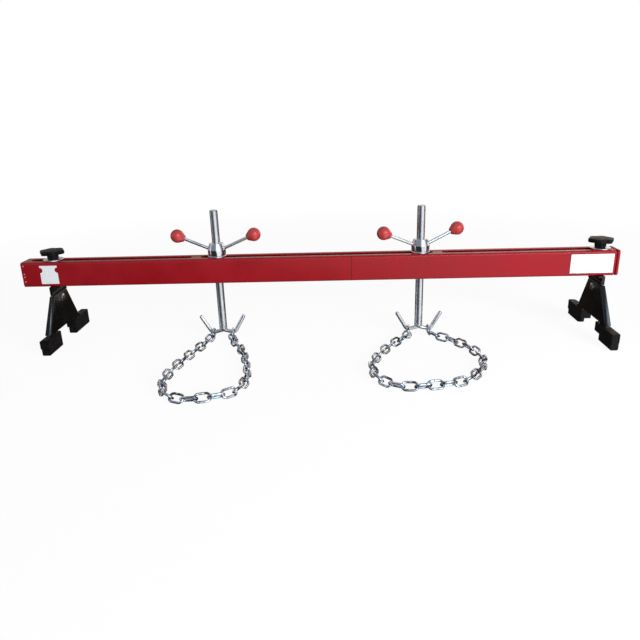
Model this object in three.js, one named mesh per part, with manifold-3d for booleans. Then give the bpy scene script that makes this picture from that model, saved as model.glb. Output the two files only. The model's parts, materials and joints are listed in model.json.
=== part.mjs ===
// Engine support bar: a slotted steel beam on two clamped feet, with two lifting screws and their chains.
// Millimetres, +Z up. The origin is on the floor, in the middle of the whole part seen from above.
import * as THREE from 'three';
import { mergeVertices } from 'three/addons/utils/BufferGeometryUtils.js';
import Module from 'manifold-3d';

const wasm = await Module();
wasm.setup();

// Running gap between pieces, overrun of every cut, and the weld distance of a mesh
const clearance = 0.3;
const overrun = 2;
const weldDistance = 1e-4;

// Facets of round pieces
const roundSides = 24;
const boltSides = 16;
const ballSides = 14;
const barSides = 8;
const hexSides = 6;

// Beam
const beamLength = 1500;
const beamWidth = 56;
const beamHeight = 64;
const beamWall = 3;
const beamCorner = 6;
const innerCorner = 3;
const cornerSteps = 3;
const seamOffset = 88;
const leftPlateThickness = 5;
const rightPlateThickness = 6;
const rightPlateGroove = 4;
const spigotDepth = 5;

// Slots through the top and the bottom wall: one in the middle, and one from beside it to near each end
const slotWidth = 22;
const centreSlotLength = 590;
const slotBridge = 22;
const slotEndMargin = 18;
const slotEndSteps = 10;

// Stickers on the front face
const stickerThickness = 0.4;
const ratingWidth = 45;
const ratingHeight = 47.5;
const ratingFromLeft = 48;
const ratingNotch = 7;
const ratingNotchShare = 0.25;
const notchSteps = 8;
const infoLength = 105;
const infoHeight = 48;
const infoFromRight = 14;

// Foot: pads on the floor, a rocking bracket, a hanger under the beam and a clamp on top of it
const leftFootFromEnd = 74.5;
const rightFootFromEnd = 40;
const pivotHeight = 120;
const pivotDrop = 35;
const steelThickness = 4;
const webInset = 3.5;
const webTopRise = 24;
const webTopHalf = 36;
const webFootHalf = 90;
const webFootHeight = 44;
const flangeTopRise = 14;
const flangeTopReach = 10;
const flangeFootReach = 16;
const tongueStart = 62;
const tongueHeight = 24;
const hangerHalf = 33;
const hangerReach = 8.5;
const hangerSideRise = 12;
const cheekFootHalf = 14;
const cheekBelowPivot = 12;

// Rubber pads
const padInset = 6.5;
const padTreadWidth = 21.5;
const padLip = 4.5;
const padTreadHeight = 17;
const padShoulderHeight = 36;
const padHeight = 41;
const padTopWidth = 18;
const padBevel = 2;

// Each pad along the foot, from the beam outward: its body, its tread, and its outer and inner round corners
const pads = {
  left_far: { start: 50, end: 138, treadStart: 50, treadEnd: 138, bodyRound: 6, treadRound: 0 },
  left_near: { start: 42, end: 114, treadStart: 42, treadEnd: 114, bodyRound: 6, treadRound: 0 },
  right_far: { start: 46, end: 142, treadStart: 66, treadEnd: 136, bodyRound: 18, treadRound: 10 },
  right_near: { start: 43, end: 142, treadStart: 71, treadEnd: 140, bodyRound: 18, treadRound: 0 },
};

// Pivot bolt and nut
const boltRadius = 5;
const hexAcross = 17;
const boltHeadHeight = 6.4;
const nutHeight = 8;
const boltTail = 2;

// Clamp: washer, stud, knob and its threaded insert
const washerRadius = 25;
const washerThickness = 3;
const studRadius = 6;
const studAboveWasher = 12;
const insertRadius = 9;
const insertLength = 10;
const knobHubRadius = 14;
const knobHubHeight = 12;
const knobHeadRadius = 31;
const knobHeadHeight = 12;
const knobLobes = 6;
const knobLobeDepth = 4;
const knobStepsPerLobe = 6;
const knobBevel = 3;

// Lifting screw
const leftScrewFromSlotEnd = 43;
const rightScrewFromSlotEnd = 32;
const rightHandleTurn = THREE.MathUtils.degToRad(14);
const rodRadius = 10;
const rodAboveBeam = 118;
const rodChamfer = 1.5;
const thrustRadius = 23.5;
const thrustThickness = 4;
const hubRadius = 22.5;
const hubHeight = 30;
const hubTopRadius = 17.5;
const hubConeHeight = 15.5;
const handleRadius = 4;
const handleRootBelowTop = 12;
const handleInHub = 7;
const ballRadius = 17;
const ballReach = 97;
const ballRise = 32;
const ballNeckRadius = 8;
const ballNeckReach = 19.5;
const ballBoreReach = 6;
const ballSteps = 8;

// Double hook under the rod
const hookBarRadius = 5;
const valleyOut = 25;
const valleyHeight = 14;
const hookBend = 10;
const hornLean = THREE.MathUtils.degToRad(30);
const armRise = THREE.MathUtils.degToRad(15);
const hornTipHeight = 61;
const hookSteps = 30;
const bendSteps = 8;

// Chain
const wireRadius = 2.75;
const linkInnerLength = 28;
const linkWidth = 24;
const wireSides = 6;
const linkSteps = 10;
const linksPerChain = 32;
const linksPerRun = 4;
const linkBite = 0.6;
const linkPlay = 0.6;
const linkTilt = THREE.MathUtils.degToRad(45);
const endTiltShares = [1, 0.5, 0.15];
const routeSteps = 900;
const routeSearches = 40;

// Each loop seen from above, as shares of its reach from the screw, from the left horn round to the right one
const leftLoopShares = [
  [-0.08, -0.13], [-0.145, -0.35], [-0.2, -0.57], [-0.215, -0.73], [-0.18, -0.89], [-0.075, -0.98],
  [0.075, -0.965], [0.2, -0.91], [0.25, -0.81], [0.255, -0.7], [0.23, -0.54], [0.165, -0.3], [0.08, -0.12],
];
const rightLoopShares = [
  [-0.085, -0.1], [-0.2, -0.25], [-0.31, -0.45], [-0.36, -0.63], [-0.31, -0.82], [-0.19, -0.9],
  [-0.01, -0.885], [0.145, -0.845], [0.27, -0.71], [0.33, -0.54], [0.295, -0.35], [0.2, -0.2], [0.085, -0.09],
];

// Places that follow from the sizes above
const beamUnderside = pivotHeight + pivotDrop;
const beamTop = beamUnderside + beamHeight;
const leftFootX = -beamLength / 2 + leftFootFromEnd;
const rightFootX = beamLength / 2 - rightFootFromEnd;
const leftScrewX = -centreSlotLength / 2 + leftScrewFromSlotEnd;
const rightScrewX = centreSlotLength / 2 - rightScrewFromSlotEnd;
const wireReach = linkWidth / 2;

function paint(color, roughness, metalness) {
  return new THREE.MeshStandardMaterial({ color, roughness, metalness, flatShading: true });
}
const redPaint = paint(0xa32334, 0.4, 0);
const blackPaint = paint(0x1b1b1e, 0.5, 0);
const zinc = paint(0xd5dade, 0.25, 1);
const chainSteel = paint(0xc4cacf, 0.3, 1);
const blackPlastic = paint(0x141417, 0.45, 0);
const blackRubber = paint(0x101012, 0.8, 0);
const coralPlastic = paint(0xe8514f, 0.3, 0);
const brass = paint(0xb58a3f, 0.35, 1);
const stickerWhite = paint(0xf4f6f8, 0.5, 0);

// Mesh helpers
function volumeOf(positions, index) {
  const [a, b, c] = [new THREE.Vector3(), new THREE.Vector3(), new THREE.Vector3()];
  let sum = 0;
  for (let i = 0; i < index.length; i += 3) {
    a.fromArray(positions, index[i] * 3);
    b.fromArray(positions, index[i + 1] * 3);
    c.fromArray(positions, index[i + 2] * 3);
    sum += a.dot(b.cross(c));
  }
  return sum;
}

// One closed mesh with shared vertices, no empty triangles and its faces outward
function closed(geometry) {
  geometry.deleteAttribute('normal');
  geometry.deleteAttribute('uv');
  const merged = mergeVertices(geometry, weldDistance);
  const source = merged.index.array;
  const index = [];
  for (let i = 0; i < source.length; i += 3) {
    const [a, b, c] = [source[i], source[i + 1], source[i + 2]];
    if (a !== b && b !== c && c !== a) index.push(a, b, c);
  }
  if (volumeOf(merged.attributes.position.array, index) < 0) index.reverse();
  merged.setIndex(index);
  return merged;
}

function solidOf(geometry) {
  const mesh = closed(geometry);
  return new wasm.Manifold(new wasm.Mesh({
    numProp: 3,
    vertProperties: new Float32Array(mesh.attributes.position.array),
    triVerts: new Uint32Array(mesh.index.array),
  }));
}

function geometryOf(solid) {
  const mesh = solid.getMesh();
  const geometry = new THREE.BufferGeometry();
  geometry.setAttribute('position', new THREE.BufferAttribute(new Float32Array(mesh.vertProperties), 3));
  geometry.setIndex(new THREE.BufferAttribute(new Uint32Array(mesh.triVerts), 1));
  return geometry;
}

function join(...geometries) {
  return geometryOf(geometries.map(solidOf).reduce((sum, next) => sum.add(next)));
}

function cut(base, ...cutters) {
  return geometryOf(cutters.map(solidOf).reduce((rest, next) => rest.subtract(next), solidOf(base)));
}

function piece(parent, name, geometry, material) {
  const mesh = new THREE.Mesh(closed(geometry), material);
  mesh.name = name;
  parent.add(mesh);
  return mesh;
}

// Shape helpers
function box(x0, x1, y0, y1, z0, z1) {
  const geometry = new THREE.BoxGeometry(x1 - x0, y1 - y0, z1 - z0);
  return geometry.translate((x0 + x1) / 2, (y0 + y1) / 2, (z0 + z1) / 2);
}

function upright(radius, z0, z1, sides) {
  const geometry = new THREE.CylinderGeometry(radius, radius, z1 - z0, sides);
  return geometry.rotateX(Math.PI / 2).translate(0, 0, (z0 + z1) / 2);
}

function alongX(radius, x0, x1, sides) {
  const geometry = new THREE.CylinderGeometry(radius, radius, x1 - x0, sides);
  return geometry.rotateZ(Math.PI / 2).translate((x0 + x1) / 2, 0, 0);
}

// Corner radius of a faceted hole whose flats clear a round piece
function holeRadius(radius, sides) {
  return (radius + clearance) / Math.cos(Math.PI / sides);
}

function hexRadius(across) {
  return across / 2 / Math.cos(Math.PI / hexSides);
}

function turned(profile, sides) {
  const points = profile.map(([radius, height]) => new THREE.Vector2(radius, height));
  return new THREE.LatheGeometry(points, sides).rotateX(Math.PI / 2);
}

function outline(points) {
  return new THREE.Shape(points.map(([x, y]) => new THREE.Vector2(x, y)));
}

// An outline in the Y-Z plane, extruded along X from x0 to x1
function plateAlongX(points, x0, x1) {
  const geometry = new THREE.ExtrudeGeometry(outline(points), { depth: x1 - x0, bevelEnabled: false });
  return geometry.rotateX(Math.PI / 2).rotateZ(Math.PI / 2).translate(x0, 0, 0);
}

// An outline in the X-Z plane, extruded along Y from y0 to y1
function barAlongY(points, y0, y1) {
  const geometry = new THREE.ExtrudeGeometry(outline(points), { depth: y1 - y0, bevelEnabled: false });
  return geometry.rotateX(Math.PI / 2).translate(0, y1, 0);
}

function mirrored(points) {
  return [...points, ...points.map(([across, up]) => [-across, up]).reverse()];
}

// Hole along X for the pivot bolt, through the plate between x0 and x1
function pivotHole(x0, x1) {
  const radius = holeRadius(boltRadius, boltSides);
  return alongX(radius, x0 - overrun, x1 + overrun, boltSides).translate(0, 0, pivotHeight);
}

// Outline of a rectangle with round corners, about the middle of the beam's section
function roundedRectangle(width, height, radius) {
  const points = [];
  const corners = [[1, 1], [-1, 1], [-1, -1], [1, -1]];
  for (const [quarter, [sideY, sideZ]] of corners.entries()) {
    for (let step = 0; step <= cornerSteps; step += 1) {
      const angle = (quarter + step / cornerSteps) * Math.PI / 2;
      const y = sideY * (width / 2 - radius) + radius * Math.cos(angle);
      const z = sideZ * (height / 2 - radius) + radius * Math.sin(angle);
      points.push([y, z]);
    }
  }
  return points;
}

function beamSection(x0, x1, inset, corner) {
  const points = roundedRectangle(beamWidth - inset * 2, beamHeight - inset * 2, corner);
  return plateAlongX(points, x0, x1).translate(0, 0, beamUnderside + beamHeight / 2);
}

// A slot with round ends, cut down through both walls
function slotCutter(x0, x1) {
  const radius = slotWidth / 2;
  const points = [];
  for (const [centre, start] of [[x1 - radius, -0.5], [x0 + radius, 0.5]]) {
    for (let step = 0; step <= slotEndSteps; step += 1) {
      const angle = (start + step / slotEndSteps) * Math.PI;
      points.push([centre + radius * Math.cos(angle), radius * Math.sin(angle)]);
    }
  }
  const depth = beamHeight + overrun * 2;
  const geometry = new THREE.ExtrudeGeometry(outline(points), { depth, bevelEnabled: false });
  return geometry.translate(0, 0, beamUnderside - overrun);
}

function slots() {
  const half = centreSlotLength / 2;
  const footStart = half + slotBridge;
  const footEnd = beamLength / 2 - slotEndMargin;
  return [slotCutter(-half, half), slotCutter(-footEnd, -footStart), slotCutter(footStart, footEnd)];
}

function buildBeam(group) {
  const left = -beamLength / 2;
  const right = beamLength / 2;
  const tubeLeft = left + leftPlateThickness;
  const tubeRight = right - rightPlateThickness - rightPlateGroove;
  for (const [side, x0, x1] of [['left', tubeLeft, seamOffset], ['right', seamOffset, tubeRight]]) {
    const bore = beamSection(x0 - overrun, x1 + overrun, beamWall, innerCorner);
    const tube = cut(beamSection(x0, x1, 0, beamCorner), bore, ...slots());
    piece(group, `beam_tube_${side}`, tube, redPaint);
  }
  piece(group, 'end_plate_left', beamSection(left, tubeLeft, 0, beamCorner), redPaint);
  const plateStart = right - rightPlateThickness;
  const spigotStart = tubeRight - spigotDepth;
  const spigot = beamSection(spigotStart, plateStart + overrun, beamWall + clearance, innerCorner);
  piece(group, 'end_plate_right', join(beamSection(plateStart, right, 0, beamCorner), spigot), redPaint);
}

// Sticker shaped like a weight: a rectangle with a round bite out of each side near its top
function ratingOutline() {
  const half = ratingWidth / 2;
  const top = ratingHeight / 2;
  const notchHeight = top - ratingHeight * ratingNotchShare;
  const right = [[half, -top]];
  for (let step = 0; step <= notchSteps; step += 1) {
    const angle = -Math.PI / 2 - step / notchSteps * Math.PI;
    right.push([half + ratingNotch * Math.cos(angle), notchHeight + ratingNotch * Math.sin(angle)]);
  }
  right.push([half, top]);
  return mirrored(right);
}

function buildStickers(group) {
  const front = -beamWidth / 2;
  const middle = beamUnderside + beamHeight / 2;
  const rating = barAlongY(ratingOutline(), front - stickerThickness, front);
  rating.translate(-beamLength / 2 + ratingFromLeft + ratingWidth / 2, 0, middle);
  piece(group, 'rating_sticker', rating, stickerWhite);
  const x1 = beamLength / 2 - infoFromRight;
  const half = infoHeight / 2;
  const info = box(x1 - infoLength, x1, front - stickerThickness, front, middle - half, middle + half);
  piece(group, 'info_sticker', info, stickerWhite);
}

// Foot pieces, with the stud on the Z axis and the inner side toward -X
function bracketGeometry() {
  const inner = -webInset;
  const top = pivotHeight + webTopRise;
  const web = mirrored([
    [webTopHalf, top],
    [webFootHalf, webFootHeight],
    [webFootHalf, tongueHeight],
    [tongueStart, tongueHeight],
    [tongueStart, webFootHeight],
  ]);
  const plate = plateAlongX(web, inner, inner + steelThickness);
  const slope = (webFootHalf - webTopHalf) / (top - webFootHeight);
  const strip = steelThickness * Math.hypot(1, slope);
  const flangeTop = pivotHeight + flangeTopRise;
  const flangeTopHalf = webTopHalf + (top - flangeTop) * slope;
  const flanges = [1, -1].map((side) => plateAlongX([
    [side * flangeTopHalf, flangeTop],
    [side * webFootHalf, webFootHeight],
    [side * (webFootHalf - strip), webFootHeight],
    [side * (flangeTopHalf - strip), flangeTop],
  ], inner, inner + flangeFootReach));
  const taper = barAlongY([
    [inner + flangeTopReach, flangeTop],
    [inner + flangeFootReach, webFootHeight],
    [inner + flangeFootReach + overrun, webFootHeight],
    [inner + flangeFootReach + overrun, flangeTop + overrun],
    [inner + flangeTopReach, flangeTop + overrun],
  ], -webFootHalf - overrun, webFootHalf + overrun);
  return cut(join(plate, ...flanges), taper, pivotHole(inner, inner + steelThickness));
}

// Channel under the beam: a top plate, a cheek beside the bracket's web and a short side at each end
function hangerGeometry() {
  const cheekInner = -webInset + steelThickness + clearance;
  const cheekOuter = cheekInner + steelThickness;
  const top = beamUnderside - clearance;
  const underPlate = top - steelThickness;
  const sideFoot = pivotHeight + hangerSideRise;
  const cheek = mirrored([
    [hangerHalf, top],
    [hangerHalf, sideFoot],
    [cheekFootHalf, pivotHeight - cheekBelowPivot],
  ]);
  const plate = box(-hangerReach, hangerReach, -hangerHalf, hangerHalf, underPlate, top);
  const sides = [1, -1].map((side) => plateAlongX([
    [side * hangerHalf, top],
    [side * hangerHalf, sideFoot],
    [side * (hangerHalf - steelThickness), sideFoot],
    [side * (hangerHalf - steelThickness), top],
  ], cheekInner, hangerReach));
  const channel = join(plate, plateAlongX(cheek, cheekInner, cheekOuter), ...sides);
  return cut(channel, pivotHole(cheekInner, cheekOuter));
}

// What is left of a square upright corner when it is rounded; the signs say which way the corner points
function cornerOffcut(x, y, signX, signY, radius) {
  const [bottom, top] = [-overrun, padHeight + overrun];
  const [centreX, centreY] = [x - signX * radius, y - signY * radius];
  const [farX, farY] = [x + signX * overrun, y + signY * overrun];
  const block = box(
    Math.min(centreX, farX), Math.max(centreX, farX),
    Math.min(centreY, farY), Math.max(centreY, farY), bottom, top,
  );
  const drum = upright(radius, bottom - overrun, top + overrun, roundSides).translate(centreX, centreY, 0);
  return cut(block, drum);
}

// Pad on the +Y side: a narrower tread under a body with an outer lip, and a slot for the bracket's tongue
function padGeometry({ start, end, treadStart, treadEnd, bodyRound, treadRound }) {
  const inner = -padInset;
  const outer = inner + padTreadWidth;
  const body = barAlongY([
    [inner, padTreadHeight - padBevel],
    [outer, padTreadHeight - padBevel],
    [outer, padTreadHeight],
    [outer + padLip, padTreadHeight],
    [outer + padLip, padShoulderHeight],
    [inner + padTopWidth, padHeight],
    [inner, padHeight],
  ], start, end);
  const tread = barAlongY([
    [inner + padBevel, 0],
    [outer - padBevel, 0],
    [outer, padBevel],
    [outer, padTreadHeight],
    [inner, padTreadHeight],
    [inner, padBevel],
  ], treadStart, treadEnd);
  const treadCorners = treadRound > 0 ? [[inner, -1], [outer, 1]] : [];
  const offcuts = treadCorners.map(([x, sign]) => cornerOffcut(x, treadStart, sign, -1, treadRound));
  const reliefOuter = outer + padLip + overrun;
  const relief = box(inner - overrun, reliefOuter, start - overrun, treadStart, -overrun, padTreadHeight);
  const slot = box(
    -webInset - clearance, -webInset + steelThickness + clearance,
    tongueStart - clearance, webFootHalf + clearance,
    tongueHeight - clearance, padHeight + overrun,
  );
  const outerOffcut = cornerOffcut(outer + padLip, end, 1, 1, bodyRound);
  return cut(join(body, cut(tread, ...offcuts)), relief, slot, outerOffcut);
}

function pivotBoltGeometry() {
  const underHead = -webInset - clearance;
  const end = -webInset + steelThickness * 2 + clearance * 2 + nutHeight + boltTail;
  const head = alongX(hexRadius(hexAcross), underHead - boltHeadHeight, underHead, hexSides);
  return join(head, alongX(boltRadius, underHead - overrun, end, boltSides)).translate(0, 0, pivotHeight);
}

function pivotNutGeometry() {
  const start = -webInset + steelThickness * 2 + clearance * 2;
  const body = alongX(hexRadius(hexAcross), start, start + nutHeight, hexSides).translate(0, 0, pivotHeight);
  return cut(body, pivotHole(start, start + nutHeight));
}

// Lobed head on a round hub, bored from below for the insert and the stud
function knobGeometry(bottom) {
  const points = [];
  const count = knobLobes * knobStepsPerLobe;
  const mean = knobHeadRadius - knobBevel - knobLobeDepth / 2;
  for (let step = 0; step < count; step += 1) {
    const angle = step / count * Math.PI * 2;
    const radius = mean + knobLobeDepth / 2 * Math.cos(angle * knobLobes);
    points.push([radius * Math.cos(angle), radius * Math.sin(angle)]);
  }
  const head = new THREE.ExtrudeGeometry(outline(points), {
    depth: knobHeadHeight - knobBevel * 2,
    bevelThickness: knobBevel,
    bevelSize: knobBevel,
    bevelSegments: 1,
  });
  head.translate(0, 0, bottom + knobHubHeight + knobBevel);
  const hub = upright(knobHubRadius, bottom, bottom + knobHubHeight + overrun, roundSides);
  const seatTop = bottom + insertLength + clearance;
  const seat = upright(holeRadius(insertRadius, roundSides), bottom - overrun, seatTop, roundSides);
  const tip = upright(holeRadius(studRadius, boltSides), bottom, bottom + studAboveWasher, boltSides);
  return cut(join(head, hub), seat, tip);
}

function buildFoot(group, side, x, turn) {
  const foot = new THREE.Group();
  foot.position.set(x, 0, 0);
  foot.rotation.z = turn;
  group.add(foot);
  const washerBottom = beamTop + clearance;
  const washerTop = washerBottom + washerThickness;
  const knobBottom = washerTop + clearance;
  const studFoot = beamUnderside - clearance;
  const studTop = washerTop + studAboveWasher;

  piece(foot, `${side}_foot_bracket`, bracketGeometry(), blackPaint);
  for (const [place, direction] of [['far', 1], ['near', -1]]) {
    const pad = padGeometry(pads[`${side}_${place}`]).scale(1, direction * Math.cos(turn), 1);
    piece(foot, `${side}_${place}_rubber_pad`, pad, blackRubber);
  }
  piece(foot, `${side}_foot_hanger`, hangerGeometry(), blackPaint);
  piece(foot, `${side}_pivot_bolt`, pivotBoltGeometry(), zinc);
  piece(foot, `${side}_pivot_nut`, pivotNutGeometry(), zinc);
  piece(foot, `${side}_clamp_stud`, upright(studRadius, studFoot, studTop, boltSides), zinc);
  const bore = holeRadius(studRadius, boltSides);
  const disc = upright(washerRadius, washerBottom, washerTop, roundSides);
  const washerBore = upright(bore, washerBottom - overrun, washerTop + overrun, boltSides);
  piece(foot, `${side}_clamp_washer`, cut(disc, washerBore), zinc);
  piece(foot, `${side}_clamp_knob`, knobGeometry(knobBottom), blackPlastic);
  const insertTop = knobBottom + insertLength;
  const insertBore = upright(bore, knobBottom - overrun, insertTop + overrun, boltSides);
  const insert = upright(insertRadius, knobBottom, insertTop, roundSides);
  piece(foot, `${side}_knob_insert`, cut(insert, insertBore), brass);
}

// Screw pieces, with the rod on the Z axis
const hubBottom = beamTop + clearance * 2 + thrustThickness;
const hubTop = hubBottom + hubHeight;
const handleRoot = hubTop - handleRootBelowTop;
const handleAngle = Math.atan2(ballRise, ballReach - hubRadius);
const handleStart = hubRadius - handleInHub;

// Places a piece made along +Z onto a handle's line, starting at the given distance from the rod's axis
function onHandle(geometry, side, distance) {
  geometry.rotateY(side * (Math.PI / 2 - handleAngle));
  return geometry.translate(side * distance, 0, handleRoot + (distance - hubRadius) * Math.tan(handleAngle));
}

function hubGeometry() {
  const bore = holeRadius(rodRadius, roundSides);
  const body = turned([
    [bore, hubBottom],
    [hubRadius, hubBottom],
    [hubRadius, hubTop - hubConeHeight],
    [hubTopRadius, hubTop],
    [bore, hubTop],
    [bore, hubBottom],
  ], roundSides);
  const drill = holeRadius(handleRadius, barSides);
  const holeStart = handleStart - clearance;
  const holes = [1, -1].map((side) => onHandle(upright(drill, 0, hubRadius, barSides), side, holeStart));
  return cut(body, ...holes);
}

function handleLength() {
  return (ballReach - handleStart) / Math.cos(handleAngle) - ballBoreReach - clearance;
}

// Round ball with a short cone and a bore toward the handle, its middle at the origin and its neck at -Z
function ballGeometry() {
  const bore = holeRadius(handleRadius, barSides);
  const neck = -ballNeckReach;
  const profile = [[0, -ballBoreReach], [bore, -ballBoreReach], [bore, neck], [ballNeckRadius, neck]];
  const neckAngle = Math.atan2(ballNeckRadius, ballNeckReach);
  const start = neckAngle + Math.acos(ballRadius / Math.hypot(ballNeckRadius, ballNeckReach));
  for (let step = 0; step <= ballSteps; step += 1) {
    const angle = start + (Math.PI - start) * step / ballSteps;
    profile.push([ballRadius * Math.sin(angle), -ballRadius * Math.cos(angle)]);
  }
  return turned(profile, ballSides);
}

// Half of the hook's centre line, from the rod's axis out to the horn's tip, in the X-Z plane
function hookHalf() {
  const points = [];
  const bendStart = -armRise;
  const bendEnd = Math.PI / 2 - hornLean;
  for (let step = 0; step <= bendSteps; step += 1) {
    const angle = bendStart + (bendEnd - bendStart) * step / bendSteps;
    points.push([valleyOut + hookBend * Math.sin(angle), valleyHeight + hookBend * (1 - Math.cos(angle))]);
  }
  const [x0, z0] = points[0];
  const [x1, z1] = points[points.length - 1];
  const apex = [0, z0 + x0 * Math.tan(armRise)];
  const tip = [x1 + (hornTipHeight - z1) * Math.tan(hornLean), hornTipHeight];
  return [apex, ...points, tip];
}

function hookGeometry() {
  const half = hookHalf();
  const line = [...half.slice(1).reverse().map(([x, z]) => [-x, z]), ...half];
  const path = new THREE.CurvePath();
  for (let i = 1; i < line.length; i += 1) {
    const from = new THREE.Vector3(line[i - 1][0], 0, line[i - 1][1]);
    path.add(new THREE.LineCurve3(from, new THREE.Vector3(line[i][0], 0, line[i][1])));
  }
  const section = [];
  for (let side = 0; side < barSides; side += 1) {
    const angle = (side + 0.5) / barSides * Math.PI * 2;
    section.push([hookBarRadius * Math.cos(angle), hookBarRadius * Math.sin(angle)]);
  }
  return new THREE.ExtrudeGeometry(outline(section), { steps: hookSteps, extrudePath: path });
}

function rodGeometry() {
  const bottom = hookHalf()[0][1] + hookBarRadius + clearance;
  const top = beamTop + rodAboveBeam;
  return turned([
    [0, bottom],
    [rodRadius, bottom],
    [rodRadius, top - rodChamfer],
    [rodRadius - rodChamfer, top],
    [0, top],
  ], roundSides);
}

// Chain route: the loop on the floor, as a curve in plan from one horn's seat round to the other
function loopCurve(shares, reach) {
  const seat = hookBarRadius + clearance;
  const loop = shares.map(([x, y]) => new THREE.Vector3(x * reach, y * reach, 0));
  const points = [new THREE.Vector3(-valleyOut, seat, 0), ...loop, new THREE.Vector3(valleyOut, seat, 0)];
  return new THREE.CatmullRomCurve3(points, false, 'centripetal');
}

// Distance from a link's middle to its bearing: a little more inside a run, a little less at its ends
function bearingReach(link, ahead) {
  const runEnds = (link + ahead) % linksPerRun === 0;
  return linkInnerLength / 2 + (runEnds ? -linkPlay : linkBite) / 2;
}

// Walks a curve link by link and returns both bearing points of each link, or null where it runs out
function walk(curve) {
  const dots = curve.getSpacedPoints(routeSteps);
  let here = dots[0];
  let next = 1;
  function stepTo(distance) {
    while (next < dots.length && dots[next].distanceTo(here) < distance) next += 1;
    if (next >= dots.length) return false;
    const before = dots[next - 1];
    const span = dots[next].distanceTo(here) - before.distanceTo(here);
    here = before.clone().lerp(dots[next], (distance - before.distanceTo(here)) / span);
    return true;
  }
  const links = [];
  for (let link = 0; link < linksPerChain; link += 1) {
    const from = here;
    if (!stepTo(bearingReach(link, 0) + bearingReach(link, 1))) return null;
    links.push([from, here]);
  }
  return links;
}

// The loop whose length the whole links just fill
function fittedLinks(shares) {
  let short = linkInnerLength;
  let long = linkInnerLength * linksPerChain;
  for (let search = 0; search < routeSearches; search += 1) {
    const middle = (short + long) / 2;
    if (walk(loopCurve(shares, middle))) long = middle;
    else short = middle;
  }
  return walk(loopCurve(shares, long));
}

// Turn of a link about its own length: alternately left and right, upright where it wraps the hook
function linkTurn(link) {
  const fromEnd = Math.min(link, linksPerChain - 1 - link);
  const endLink = link < linksPerChain / 2 ? 0 : linksPerChain - 1;
  const sign = link % 2 === 0 ? 1 : -1;
  const sameAsEnd = (link - endLink) % 2 === 0 ? 1 : -1;
  const share = fromEnd < endTiltShares.length ? endTiltShares[fromEnd] : 0;
  return sign * linkTilt * (1 + sameAsEnd * share);
}

// Height at which a link with this turn just lies on the floor
function restHeight(turn) {
  return (wireReach - wireRadius) * Math.abs(Math.sin(turn)) + wireRadius;
}

function bearingHeight(bearing) {
  if (bearing === 0 || bearing === linksPerChain) return valleyHeight;
  return Math.max(restHeight(linkTurn(bearing - 1)), restHeight(linkTurn(bearing)));
}

function linkGeometry(from, to, back, turn) {
  const bend = wireReach - wireRadius;
  const straight = linkInnerLength / 2 + wireRadius - bend;
  const geometry = new THREE.TorusGeometry(bend, wireRadius, wireSides, linkSteps);
  const position = geometry.attributes.position;
  for (let i = 0; i < position.count; i += 1) {
    position.setX(i, position.getX(i) + Math.sign(position.getX(i)) * straight);
  }
  const forward = to.clone().sub(from).normalize();
  const side = new THREE.Vector3(-forward.y, forward.x, 0).normalize();
  const up = forward.clone().cross(side);
  const across = side.clone().multiplyScalar(Math.cos(turn)).addScaledVector(up, Math.sin(turn));
  const place = new THREE.Matrix4().makeBasis(forward, across, forward.clone().cross(across));
  place.setPosition(from.clone().addScaledVector(forward, back));
  return geometry.applyMatrix4(place);
}

function buildChain(group, side, links) {
  const runs = linksPerChain / linksPerRun;
  for (let run = 0; run < runs; run += 1) {
    const geometries = [];
    for (let link = run * linksPerRun; link < (run + 1) * linksPerRun; link += 1) {
      const [from, to] = links[link].map((point) => point.clone());
      from.z = bearingHeight(link);
      to.z = bearingHeight(link + 1);
      geometries.push(linkGeometry(from, to, bearingReach(link, 0), linkTurn(link)));
    }
    piece(group, `${side}_chain_run_${run + 1}`, join(...geometries), chainSteel);
  }
}

function buildScrew(group, side, x, turn, links) {
  const screw = new THREE.Group();
  screw.position.set(x, 0, 0);
  group.add(screw);
  const thrustBottom = beamTop + clearance;
  const boreRadius = holeRadius(rodRadius, roundSides);
  const bore = upright(boreRadius, thrustBottom - overrun, hubBottom + overrun, roundSides);
  const disc = upright(thrustRadius, thrustBottom, thrustBottom + thrustThickness, roundSides);
  piece(screw, `${side}_thrust_washer`, cut(disc, bore), zinc);
  piece(screw, `${side}_screw_rod`, rodGeometry(), zinc);
  piece(screw, `${side}_double_hook`, hookGeometry(), zinc);

  const head = new THREE.Group();
  head.rotation.z = turn;
  screw.add(head);
  piece(head, `${side}_hub_nut`, hubGeometry(), zinc);
  for (const [arm, direction] of [['left', -1], ['right', 1]]) {
    const rod = upright(handleRadius, 0, handleLength(), barSides);
    piece(head, `${side}_screw_${arm}_handle`, onHandle(rod, direction, handleStart), zinc);
    piece(head, `${side}_screw_${arm}_ball`, onHandle(ballGeometry(), direction, ballReach), coralPlastic);
  }
  buildChain(screw, side, links);
}

// The beam's line lies where the part's depth, from the chains to the far pads, is centred on the origin
const leftLinks = fittedLinks(leftLoopShares);
const rightLinks = fittedLinks(rightLoopShares);
const nearest = Math.min(...[...leftLinks, ...rightLinks].flat().map((point) => point.y)) - wireReach;
const beamY = -(nearest + pads.right_far.end) / 2;

const group = new THREE.Group();
const bar = new THREE.Group();
bar.position.y = beamY;
group.add(bar);
buildBeam(bar);
buildStickers(bar);
buildFoot(bar, 'left', leftFootX, Math.PI);
buildFoot(bar, 'right', rightFootX, 0);
buildScrew(bar, 'left', leftScrewX, 0, leftLinks);
buildScrew(bar, 'right', rightScrewX, rightHandleTurn, rightLinks);

export default group;
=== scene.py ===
import json
from math import acos, atan2, cos, hypot, pi, radians, sin, sqrt, tan, tau

import bmesh
import bpy
from mathutils import Matrix, Vector
from mathutils.geometry import tessellate_polygon


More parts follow.
